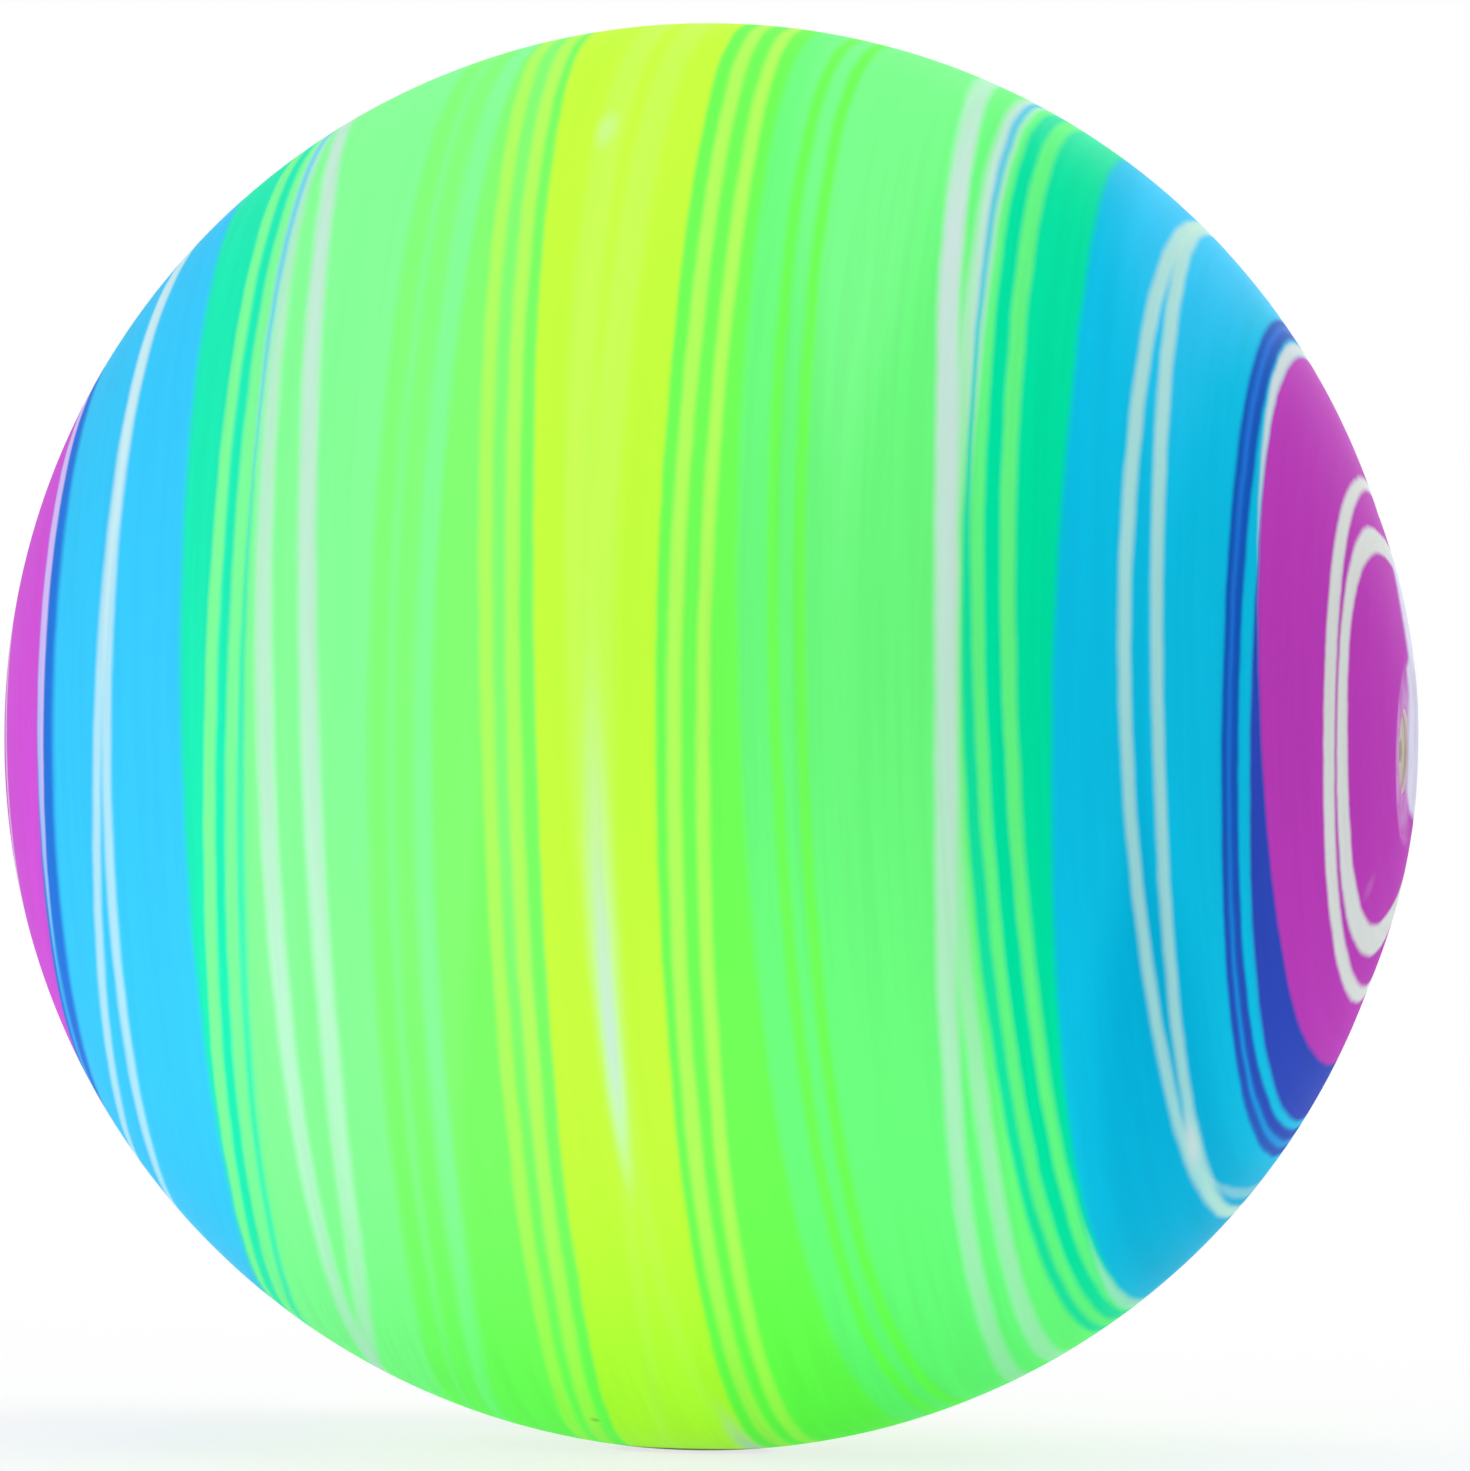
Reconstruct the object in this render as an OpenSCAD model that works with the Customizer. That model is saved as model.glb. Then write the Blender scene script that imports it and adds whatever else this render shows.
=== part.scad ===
// Inflated vinyl play ball: a hollow moulded skin, the valve seat bonded inside its collar,
// and the self-sealing valve core that pushes into the seat.
// The origin is the centre of the ball. The valve axis is +X, out through the valve, and +Z is up.

/* [Ball] */
// Diameter round the middle, square to the valve axis
ball_d = 220; // [180:1:260]
// Length of the ball's own curve along the valve axis, without the swell
ball_l = 216.2; // [176:0.2:258]
// Thickness of the moulded vinyl skin
skin_t = 0.8; // [0.5:0.1:2]

/* [Swell round the valve] */
// Height of the skin's swell above the ball's own curve, at the collar's rim
swell_h = 1.1; // [0.5:0.1:2]
// Diameter at which the swell runs out into the ball's own curve
swell_d = 76; // [60:1:100]

/* [Valve collar] */
// Diameter of the flat collar moulded round the valve
collar_d = 25.6; // [24:0.2:36]
// Depth of the collar's face below the swell at its rim
collar_drop = 0.5; // [0.2:0.05:0.7]
// Width of the slope from the collar's face up to the swell
collar_slope = 1.5; // [1:0.1:3]
// Thickness of the collar's wall round the seat's flange
collar_wall = 2.3; // [1.5:0.1:3]
// Bevel round the mouth of the valve hole
mouth_bevel = 0.35; // [0.1:0.05:0.6]

/* [Valve seat] */
// Thickness of the seat's flange
flange_t = 1.5; // [1:0.1:3]
// Length of the sleeve behind the flange
sleeve_l = 10; // [6:0.5:16]
// Thickness of the sleeve's wall
sleeve_wall = 1.6; // [1:0.1:2.4]
// Leg of the gusset between the flange and the sleeve
gusset = 1.2; // [0.5:0.1:1.8]

/* [Valve core] */
// Diameter of the core's head
head_d = 12.8; // [12:0.1:14]
// Thickness of the core's head
head_t = 1.8; // [1:0.1:3]
// Depth of the head's face below the collar's face
head_recess = 0.6; // [0.2:0.1:1.5]
// Bevel round the head's face
head_bevel = 0.3; // [0.1:0.1:0.6]
// Diameter of the stem under the head
stem_d = 9; // [8:0.1:10]
// Diameter of the stem at the inner end of the seat
stem_end_d = 7.6; // [6:0.1:8]
// Length of the nose that shows past the sleeve
nose_l = 2; // [1:0.1:4]
// Diameter of the nose's tip
nose_d = 5; // [4:0.1:6]
// Height of the sealing rings above the stem
ring_h = 0.3; // [0.2:0.05:0.5]
// Number of sealing rings on the stem
ring_count = 3; // [1:1:5]

/* [Needle way] */
// Diameter of the hole that guides the inflating needle
needle_d = 2.2; // [1.8:0.1:2.6]
// Length of the needle hole's straight wall
needle_l = 6; // [4:0.5:9]
// Diameter of the funnel at the needle hole's mouth
funnel_d = 4; // [3:0.1:6]
// Depth of the funnel
funnel_l = 1; // [0.5:0.1:1.4]
// Width of the slit behind the needle hole
slit_w = 1.6; // [1:0.1:1.7]
// Gap of the slit, which air pressure closes
slit_t = 0.2; // [0.1:0.05:0.4]

/* [Fits] */
// Radial gap between the sealing rings and the seat's bore
ring_gap = 0.05; // [0.02:0.01:0.1]
// Radial gap between the core's head and the valve hole
head_gap = 0.1; // [0.05:0.01:0.2]
// Radial gap that the bonding film fills round the seat's flange
bond_gap = 0.05; // [0.02:0.01:0.1]

/* [Hidden] */
$fn = 180;

// Reach of a cut past the face that it opens
overrun = 1;

// The ball's own curve is one arc whose centre stands off the axis, so that the ball is
// a little wider than it is long.
flat_reach = ball_l * ball_l / (2 * ball_d);
arc_r = (ball_d / 2 + flat_reach) / 2;
arc_offset = (ball_d / 2 - flat_reach) / 2;

// Level of the ball's own curve at a distance from the valve axis
function curve_z(r) = sqrt(pow(arc_r, 2) - pow(r - arc_offset, 2));

// The swell is an arc about a point on the valve axis, from the collar's rim to the ball's own curve.
swell_r = swell_d / 2;
rim_r = collar_d / 2 + collar_slope;
rim_z = curve_z(rim_r) + swell_h;
swell_end_z = curve_z(swell_r);
swell_centre_z = (pow(rim_z, 2) + pow(rim_r, 2) - pow(swell_end_z, 2) - pow(swell_r, 2))
    / (2 * (rim_z - swell_end_z));
swell_arc_r = sqrt(pow(rim_z - swell_centre_z, 2) + pow(rim_r, 2));

// Levels along the valve axis, from the outside in
swell_top_z = swell_centre_z + swell_arc_r + overrun;
collar_z = rim_z - collar_drop;
face_z = collar_z - head_recess;
seat_z = face_z - head_t;
boss_z = seat_z - flange_t;
sleeve_z = boss_z - sleeve_l;
nose_z = sleeve_z - nose_l;
needle_z = face_z - funnel_l;
slit_z = needle_z - needle_l;

// Radii about the valve axis
collar_r = collar_d / 2;
boss_r = rim_r + skin_t;
pocket_r = collar_r - collar_wall;
flange_r = pocket_r - bond_gap;
head_r = head_d / 2;
hole_r = head_r + head_gap;
seat_l = flange_t + sleeve_l;
bore_clear = ring_h + ring_gap;

// Radius of the tapered stem at a depth below the head
function stem_r(depth) = (stem_d + (stem_end_d - stem_d) * depth / seat_l) / 2;
// Radius of the seat's bore at a depth below the head
function bore_r(depth) = stem_r(depth) + bore_clear;

// Turns a profile about the valve axis. The profile's Y runs out through the valve.
module turned() {
    rotate([0, 90, 0]) rotate_extrude() children();
}

// Half section of the ball's outline, drawn in by an inset
module ball_section(inset) {
    intersection() {
        union() {
            translate([arc_offset, 0]) circle(r = arc_r - inset);
            intersection() {
                translate([0, swell_centre_z]) circle(r = swell_arc_r - inset);
                square([swell_r + overrun, ball_l]);
            }
        }
        translate([0, -ball_l]) square([ball_d, 2 * ball_l]);
    }
}

// Half section of the thick boss behind the collar, up to the middle of the skin
module boss_section() {
    intersection() {
        ball_section(skin_t / 2);
        translate([0, boss_z]) square([boss_r, ball_l]);
    }
}

// Half section of the sunk collar's space, with its sloping wall
module collar_section() {
    polygon([
        [0, collar_z],
        [collar_r, collar_z],
        [rim_r + collar_slope, rim_z + collar_drop],
        [rim_r + collar_slope, swell_top_z],
        [0, swell_top_z]
    ]);
}

// Half section of the valve hole, with its bevelled mouth and the pocket for the seat's flange
module valve_hole_section() {
    polygon([
        [0, 0],
        [pocket_r, 0],
        [pocket_r, seat_z],
        [hole_r, seat_z],
        [hole_r, collar_z - mouth_bevel],
        [hole_r + mouth_bevel, collar_z],
        [hole_r + mouth_bevel, collar_z + overrun],
        [0, collar_z + overrun]
    ]);
}

// Moulded skin with its swell, collar and boss
module ball_skin() {
    color("#7cf468") turned() difference() {
        union() {
            difference() {
                ball_section(0);
                ball_section(skin_t);
            }
            boss_section();
        }
        collar_section();
        valve_hole_section();
    }
}

// Flanged sleeve that holds the core, with a tapered bore
module valve_seat() {
    color("#e9e4cf") turned() polygon([
        [bore_r(0), seat_z],
        [flange_r, seat_z],
        [flange_r, boss_z],
        [bore_r(flange_t) + sleeve_wall + gusset, boss_z],
        [bore_r(flange_t + gusset) + sleeve_wall, boss_z - gusset],
        [bore_r(seat_l) + sleeve_wall, sleeve_z],
        [bore_r(seat_l), sleeve_z]
    ]);
}

// Half section of the core's head, stem and nose
module core_section() {
    polygon([
        [0, face_z],
        [head_r - head_bevel, face_z],
        [head_r, face_z - head_bevel],
        [head_r, seat_z],
        [stem_r(0), seat_z],
        [stem_r(seat_l), sleeve_z],
        [nose_d / 2, nose_z],
        [0, nose_z]
    ]);
}

// Half sections of the round sealing rings, spread evenly along the seat's bore
module sealing_rings() {
    for (i = [0 : ring_count - 1]) {
        depth = seat_l * (i + 1 / 2) / ring_count;
        translate([stem_r(depth), seat_z - depth]) circle(r = ring_h);
    }
}

// Half section of the funnel and the needle hole behind it
module needle_section() {
    polygon([
        [0, face_z + overrun],
        [funnel_d / 2, face_z + overrun],
        [funnel_d / 2, face_z],
        [needle_d / 2, needle_z],
        [needle_d / 2, slit_z],
        [0, slit_z]
    ]);
}

// Slit that closes behind the needle, from the needle hole to the nose
module needle_slit() {
    slit_l = slit_z - nose_z + 2 * overrun;
    translate([nose_z - overrun, -slit_t / 2, -slit_w / 2])
        cube([slit_l, slit_t, slit_w]);
}

// Self-sealing plug that the inflating needle goes through
module valve_core() {
    color("#c3ba8f") difference() {
        union() {
            turned() core_section();
            turned() sealing_rings();
        }
        turned() needle_section();
        needle_slit();
    }
}

ball_skin();
valve_seat();
valve_core();
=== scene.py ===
import math
from collections import namedtuple

import bpy
from bpy.props import FloatProperty, FloatVectorProperty, IntProperty, PointerProperty
from bpy.types import Operator, Panel, PropertyGroup
from mathutils import Matrix, Vector


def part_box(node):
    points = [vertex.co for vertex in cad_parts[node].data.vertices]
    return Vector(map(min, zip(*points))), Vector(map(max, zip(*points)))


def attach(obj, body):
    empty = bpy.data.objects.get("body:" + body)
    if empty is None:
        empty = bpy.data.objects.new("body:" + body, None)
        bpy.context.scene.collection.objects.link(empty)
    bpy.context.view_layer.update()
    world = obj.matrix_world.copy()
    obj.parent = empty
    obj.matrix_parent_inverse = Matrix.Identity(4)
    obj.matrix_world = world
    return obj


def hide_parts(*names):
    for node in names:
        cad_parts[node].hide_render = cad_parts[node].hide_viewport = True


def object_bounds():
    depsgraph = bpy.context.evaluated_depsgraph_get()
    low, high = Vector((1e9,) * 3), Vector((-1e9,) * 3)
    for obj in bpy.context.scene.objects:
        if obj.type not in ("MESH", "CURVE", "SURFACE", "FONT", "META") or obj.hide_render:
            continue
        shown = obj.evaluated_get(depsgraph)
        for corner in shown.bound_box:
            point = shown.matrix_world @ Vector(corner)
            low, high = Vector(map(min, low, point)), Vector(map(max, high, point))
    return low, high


bl_info = {
    "name": "Striped Play Ball",
    "version": (1, 0, 0),
    "blender": (4, 5, 0),
    "location": "3D View > Sidebar > Play Ball",
    "description": "Dresses an inflated vinyl play ball with spun neon stripes and a needle valve",
    "category": "Object",
}

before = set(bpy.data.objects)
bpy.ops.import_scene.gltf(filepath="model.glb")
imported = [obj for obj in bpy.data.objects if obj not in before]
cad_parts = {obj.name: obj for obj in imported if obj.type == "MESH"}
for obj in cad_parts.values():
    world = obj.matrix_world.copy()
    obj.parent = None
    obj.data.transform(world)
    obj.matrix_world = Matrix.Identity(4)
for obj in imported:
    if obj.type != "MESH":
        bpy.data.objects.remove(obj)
CAD_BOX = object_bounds()
SKIN_LOW, SKIN_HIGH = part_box("ball_skin")
SEAT_LOW, SEAT_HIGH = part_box("valve_seat")
CORE_LOW, CORE_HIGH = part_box("valve_core")

MM = 0.001

# Closest points that are welded after a turn
WELD = 0.001 * MM
# Edges flatter than this are shaded smooth
SMOOTH_ANGLE = math.radians(32)
# Steps of a rounded corner in a section
CORNER_STEPS = 4

# The paint was spun about an axis that leans up from the valve axis and a little to the back
PAINT_LEAN = math.radians(2.55)
PAINT_TURN = math.radians(-0.15)
# Noise drawn out along the spin: two scales round the ball and one across the stripes, and a detail
Streaks = namedtuple("Streaks", "scale detail")
# Values that most of a noise lies between, and its middle
NOISE_RANGE = (0.35, 0.65)
NOISE_MIDDLE = 0.5
# How far the edges wander, in degrees
WANDER = 0.3
WANDER_STREAKS = Streaks((9, 9, 0.35), 3)
# The coat's faint streaks, and its value where they are thinnest
COAT_STREAKS = Streaks((1.5, 1.5, 0.8), 4)
THIN_COAT = 0.96
# Length of the angle scale, from the valve pole to the far pole, in degrees
FULL_ANGLE = 180
# A turn in degrees, and the front as a share of a turn from the back
FULL_TURN = 360
FRONT_TURN = 0.5
# Line widths are kept on curves that run from the narrowest to the widest, in degrees
NARROWEST = -5
WIDEST = 15
# How far the hidden side of a line repeats the wander of its front
QUARTER_REPEAT = 0.3
BACK_REPEAT = 0.6

# The edges between the broad bands of colour, from the valve pole to the far pole.
# An edge or a line crosses the top, the upper front, the front, the lower front and the bottom
# of the ball at these angles from the valve pole, in degrees, an eighth of a turn apart.
FRONT_CROSSINGS = 5
Band = namedtuple("Band", "colour path soft")
FIRST_BAND = "purple"
BANDS = (
    Band("sky_blue", (30.9, 31.8, 31.8, 31.0, 29.4), 0.6),
    Band("teal", (52.4, 51.8, 53.1, 54.3, 53.4), 1.0),
    Band("mint", (56.6, 56.4, 56.1, 55.1, 53.6), 0.8),
    Band("leaf", (78.7, 78.5, 78.2, 77.0, 74.6), 0.9),
    Band("yellow", (84.9, 84.0, 84.7, 85.5, 86.0), 0.6),
    Band("pale_leaf", (97.1, 95.3, 94.0, 94.9, 96.9), 0.6),
    Band("pale_mint", (101.2, 101.1, 102.4, 103.7, 106.4), 0.9),
    Band("sea_green", (122.9, 122.6, 123.8, 126.3, 127.8), 0.6),
    Band("azure", (128.0, 126.9, 126.4, 126.6, 128.5), 1.2),
    Band("royal_blue", (144.4, 144.8, 145.8, 146.6, 147.0), 1.6),
    Band("orchid", (147.6, 148.5, 149.5, 150.6, 151.2), 0.8),
)

# Paths, widths and strengths that more than one line has
INNER_COBALT = (32.9, 33.4, 34.7, 36.0, 35.3)
OUTER_COBALT = (34.1, 34.7, 35.9, 37.3, 37.0)
ICE_WIDTH = (1.3, 1.3, 1.2, 1.05, 1.0)
ICE_STRENGTH = (0.9, 0.8, 0.7, 0.66, 0.75)
NEAR_THREAD = (60.6, 60.4, 60.2, 59.0, 57.3)
STREAK_WIDTH = (1.8, 2.2, 2.0, 0.8, 1.3)
INNER_GREEN = (103.6, 103.7, 104.8, 106.1, 108.5)
OUTER_GREEN = (105.8, 105.9, 107.0, 108.3, 110.5)
LOW_STRENGTH = (0.0, 0.0, 0.05, 0.4, 0.4)
FAR_THREAD = (119.4, 118.9, 119.9, 122.4, 124.6)

# The lines on the bands. A path and a width, in degrees, and a strength are one number, or one for
# each crossing; where the width is below zero the line is left out. Sixteen crossings go all the
# way round by half steps.
Line = namedtuple("Line", "colour path width strength soft", defaults=(1.0, 0.7))
LINES = (
    # Rings round the valve
    Line(
        "white",
        (
            13.8, 15.8, 17.5, 18.7, 19.3, 19.9, 20.2, 19.2,
            16.8, 15.0, 14.3, 13.8, 13.5, 13.3, 13.3, 13.4,
        ),
        (
            2.3, 2.3, 1.8, 1.5, 1.7, 1.9, 2.1, 2.4,
            3.6, 3.2, 2.8, 2.5, 2.4, 2.4, 2.4, 2.4,
        ),
    ),
    Line("white", (19.5, 20.4, 21.5, 22.8, 22.6), (1.1, 1.8, 1.9, 1.7, 1.4)),
    # Painted light: a lighter, bluer blue high up, where the top of the ball is brightest
    Line("azure", 43.0, (14, 6, -3, -3, -3), (0.7, 0.4, 0.0, 0.0, 0.0), 7.0),
    # Indigo lines between the purple and the blue
    Line("white", (31.5, 32.1, 31.9, 31.1, 30.1), (1.2, 0.5, -1.2, -1.2, -1.2), 0.9),
    Line("indigo", (30.8, 31.7, 32.2, 32.4, 31.4), (-0.6, -0.6, 1.3, 3.8, 5.2)),
    Line("royal_blue", (33.5, 34.0, 35.3, 36.7, 36.2), 1.3, (1.0, 1.0, 1.0, 0.7, 0.6)),
    Line("cobalt", INNER_COBALT, 0.9),
    Line("cobalt", OUTER_COBALT, 0.7),
    Line("indigo", INNER_COBALT, (-1.0, -1.0, -0.4, 0.6, 0.9), 0.8),
    Line("indigo", OUTER_COBALT, (-1.0, -1.0, -0.4, 0.5, 0.8), 0.8),
    # Painted shade: deeper blue low down, where the ball gets less light; and a white pair that parts
    # in the middle of the blue, with a branch
    # Painted shade: a darker blue over the low part of the sky blue
    Line("shaded_sky_blue", (45.0, 45.0, 45.0, 46.0, 46.0), (-5, -5, -2, 12, 14), 0.85, 6.0),
    Line("ice", (44.0, 43.4, 43.1, 43.3, 43.1), ICE_WIDTH, ICE_STRENGTH, 0.8),
    Line("ice", (44.2, 45.6, 46.3, 44.8, 43.2), ICE_WIDTH, ICE_STRENGTH, 0.8),
    Line("ice", (44.0, 45.7, 46.4, 45.5, 41.0), (-1, -1, -1, -1, 1.2), 0.4),
    # Green and teal lines on the valve side of the green
    Line("haze", (53.0, 53.0, 53.5, 54.6, 53.9), (-1, -1, -1, -0.8, 1.3), 0.5),
    Line("teal", (58.4, 58.3, 58.2, 57.0, 55.4), 4.6, 0.14),
    Line("teal", (58.5, 58.4, 58.0, 56.8, 55.4), (1.2, 1.3, 1.4, 1.3, 1.1)),
    Line("haze", NEAR_THREAD, (1.5, 1.3, -0.5, -0.6, -0.6), 0.5),
    Line("sky_blue", NEAR_THREAD, (0.6, 0.5, -0.5, -0.6, -0.6), 0.9),
    Line("teal", (60.6, 60.4, 60.2, 58.9, 57.3), (-0.6, -0.2, 1.0, 0.9, 0.8), 0.95),
    # White pair that meets in the middle of the green
    Line(
        "haze",
        (
            64.9, 63.9, 63.1, 62.2, 62.1, 63.1, 64.0, 64.4,
            64.9, 65.0, 64.7, 64.3, 64.0, 64.2, 64.5, 64.8,
        ),
        (1.6, 1.7, 1.8, 1.4, 1.5),
        (0.85, 0.85, 0.65, 0.48, 0.43),
        0.9,
    ),
    Line(
        "haze", (61.3, 61.1, 61.7, 61.3, 61.4),
        (0.9, 1.1, 1.3, 1.3, 1.5), (0.45, 0.5, 0.3, 0.44, 0.43), 0.9,
    ),
    # Painted sheen: paler green high up. Fine lines either side of the yellow, and pale streaks in it
    # Painted sheen: pale mint laid broadly over the top of the green
    Line("pale_mint", (70.5, 70.5, 70.5, 70.0, 69.0), (14, 9, -2, -3, -3), 0.5, 5.0),
    Line("leaf", (73.7, 73.7, 73.5, 72.6, 70.0), 0.9),
    Line("leaf", (75.8, 75.8, 75.5, 74.4, 71.9), 0.9),
    Line("lime", (80.9, 80.1, 81.1, 82.2, 82.3), 1.0),
    Line("lime", (83.2, 82.3, 83.3, 84.2, 84.3), 1.1),
    Line("pale_yellow", (88.0, 88.2, 88.9, 88.5, 86.6), STREAK_WIDTH, (0.6, 0.6, 0.6, 0.4, 0.4), 1.2),
    Line("pale_yellow", (91.2, 91.2, 90.4, 90.1, 93.4), STREAK_WIDTH, (0.6, 0.6, 0.6, 0.4, 0.5), 1.2),
    Line("leaf", (98.6, 98.2, 98.2, 100.0, 103.0), (-3, -3, 0, 7, 8), 0.48, 2.0),
    Line("leaf", (97.5, 95.8, 94.6, 95.4, 97.5), 1.1, 0.6),
    Line("lime", (98.2, 96.7, 95.7, 96.4, 98.5), 1.1),
    Line("lime", (100.4, 98.9, 97.8, 98.4, 100.3), 1.1, 0.9),
    Line("pale_leaf", (111.0, 111.0, 111.0, 111.0, 113.0), (-3, -3, 0, 12, 11), 0.15, 5.0),
    Line("pale_leaf", INNER_GREEN, 1.8, 0.8, 1.1),
    Line("pale_leaf", OUTER_GREEN, 1.8, 0.8, 1.1),
    Line("leaf", INNER_GREEN, 1.5, LOW_STRENGTH, 1.0),
    Line("leaf", OUTER_GREEN, 1.5, LOW_STRENGTH, 1.0),
    # White pair on the far side of the green
    Line(
        "haze", (118.0, 114.8, 113.1, 113.9, 118.2),
        (1.2, 1.5, 1.7, 1.6, 1.4), (0.7, 0.7, 0.62, 0.5, 0.5), 1.0,
    ),
    Line(
        "haze", (118.9, 118.1, 117.4, 117.3, 117.4),
        (0.6, 1.2, 1.7, 1.5, 1.3), (0.4, 0.55, 0.6, 0.54, 0.5), 1.0,
    ),
    # Teal lines on the far side of the green
    Line("sea_green", (120.5, 120.3, 121.3, 123.9, 126.0), 4.6, 0.12),
    Line("haze", FAR_THREAD, (1.1, 0.8, -0.6, -0.6, -0.6), 0.4),
    Line("azure", FAR_THREAD, (0.6, 0.5, -0.6, -0.6, -0.6), 0.7),
    Line("sea_green", FAR_THREAD, (-0.6, -0.3, 0.7, 0.7, 0.7), 0.8),
    Line("sea_green", (121.1, 120.9, 122.0, 124.6, 126.7), 1.1),
    # White pair that parts in the far blue
    Line("frost", (133.4, 135.2, 136.3, 137.3, 138.4), (2.0, 1.6, 1.35, 1.25, 1.1), 0.62, 0.9),
    Line("frost", (133.8, 135.4, 137.7, 140.9, 143.4), (1.8, 1.6, 1.25, 1.25, 1.1), 0.62, 0.9),
    # Line between the far blue and the far purple
    Line("lilac", (146.7, 147.7, 148.7, 149.4, 149.0), (1.4, 1.6, 1.3, -0.2, -0.6), 0.95),
    Line("azure", (146.5, 147.7, 148.9, 149.2, 148.8), (-0.6, -0.6, 0.5, 1.2, 1.2), 0.5),
    # Rings round the far pole
    Line("white", (163.2, 164.4, 166.2, 166.8, 165.0), (1.8, 2.8, 2.4, 1.6, 2.0), 0.75, 0.9),
    Line("white", (161.8, 162.0, 162.6, 161.6, 160.2), (1.1, 1.0, 1.2, 1.5, 1.6), 0.7, 0.8),
)

# Short marks in the paint: the angle from the valve pole, the turn up from the front, half the
# width and half the length, all in degrees
Mark = namedtuple("Mark", "colour angle turn half_width half_length strength")
MARKS = (
    Mark("mist", 89.5, -15, 1.6, 26, 0.45),
    Mark("mist", 89.5, -24, 1.0, 17, 0.7),
    Mark("mist", 86.7, -84, 1.2, 20, 0.8),
    Mark("haze", 91.7, 56, 1.3, 4, 0.24),
    Mark("white", 17.0, -52.5, 1.9, 4.0, 0.1),
    Mark("white", 43.7, -57.0, 1.0, 8.0, 0.7),
    Mark("umber", 97.5, -72, 0.6, 0.9, 0.4),
)

# White paint behind the valve. It reaches forward to one place beside the valve and to another
# above it, with a change between two heights. Towards the inner ring it draws back, far below the
# valve and a little above it. It ends inside the ring at an angle from the valve pole, and its
# edge wavers along the spin.
POOL_BESIDE = 4.5 * MM
POOL_ABOVE = -1.2 * MM
POOL_CHANGE = (8.0 * MM, 15.0 * MM)
POOL_LOW_END = (-18.0 * MM, -5.0 * MM)
POOL_LOW_DRAW = 16.0 * MM
POOL_HIGH_END = (18.0 * MM, 30.0 * MM)
POOL_HIGH_DRAW = 3.5 * MM
POOL_SOFT = 2.5 * MM
POOL_FRAY = 2.0 * MM
POOL_OUTER = (13.5, 14.5)
POOL_STREAKS = Streaks((0.5, 0.5, 0.35), 2)

# Paint is rubbed thin round the valve, with a painted highlight of the collar and its rim, between
# these angles from the valve's own axis
RUB_AND_HIGHLIGHT_ANGLES = (3.5, 8.5)
RUB_AND_HIGHLIGHT_SHARE = 0.34
# Smudges in the rubbed paint and painted highlight: their scale and detail, and the least and most of
# its share
SMUDGE_SCALE = 220
SMUDGE_DETAIL = 3
SMUDGE_SHARES = (0.6, 1.2)
# Mist of paint on the core's head: the share of its radius where it starts, and its most
MIST_START = 0.7
MIST_SHARE = 0.7

# A finish has the size of its grain, its roughness and how far that varies, the depth of its bump
# and the shade of its mottle
Finish = namedtuple("Finish", "grain roughness spread bump shade", defaults=(1.0,))
PAINTED_VINYL = Finish(0.9 * MM, 0.48, 0.2, 0.01 * MM)
BARE_VINYL = Finish(0.6 * MM, 0.52, 0.25, 0.02 * MM, 0.9)
SEAT_VINYL = Finish(0.5 * MM, 0.52, 0.25, 0.02 * MM, 0.85)
CORE_RUBBER = Finish(0.4 * MM, 0.6, 0.25, 0.03 * MM, 0.8)
GRAIN_DETAIL = 4
BUMP_STRENGTH = 0.5
# Specular level of the paint
PAINT_SHINE = 0.005
# The mottle's scale as a share of the grain's, its detail, the noise that it fades in over, and
# its most
MOTTLE_SCALE = 0.03
MOTTLE_DETAIL = 5
MOTTLE_RANGE = (0.35, 0.7)
MOTTLE_SHARE = 0.5
WHITE = (1, 1, 1, 1)


def paint(code):
    """Linear colour, with alpha, of a six digit sRGB code."""
    channels = []
    for start in (0, 2, 4):
        value = int(code[start:start + 2], 16) / 255
        channels.append(value / 12.92 if value <= 0.04045 else ((value + 0.055) / 1.055) ** 2.4)
    return (*channels, 1.0)


def tint(name, description, code):
    """Colour that a user can change, from an sRGB code."""
    return FloatVectorProperty(
        name=name,
        description=description,
        subtype='COLOR',
        size=4,
        min=0,
        max=1,
        default=paint(code),
    )


def size(name, description, metres):
    """Length that a user can change, in metres."""
    return FloatProperty(
        name=name,
        description=description,
        subtype='DISTANCE',
        unit='LENGTH',
        precision=4,
        default=metres,
    )


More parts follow.
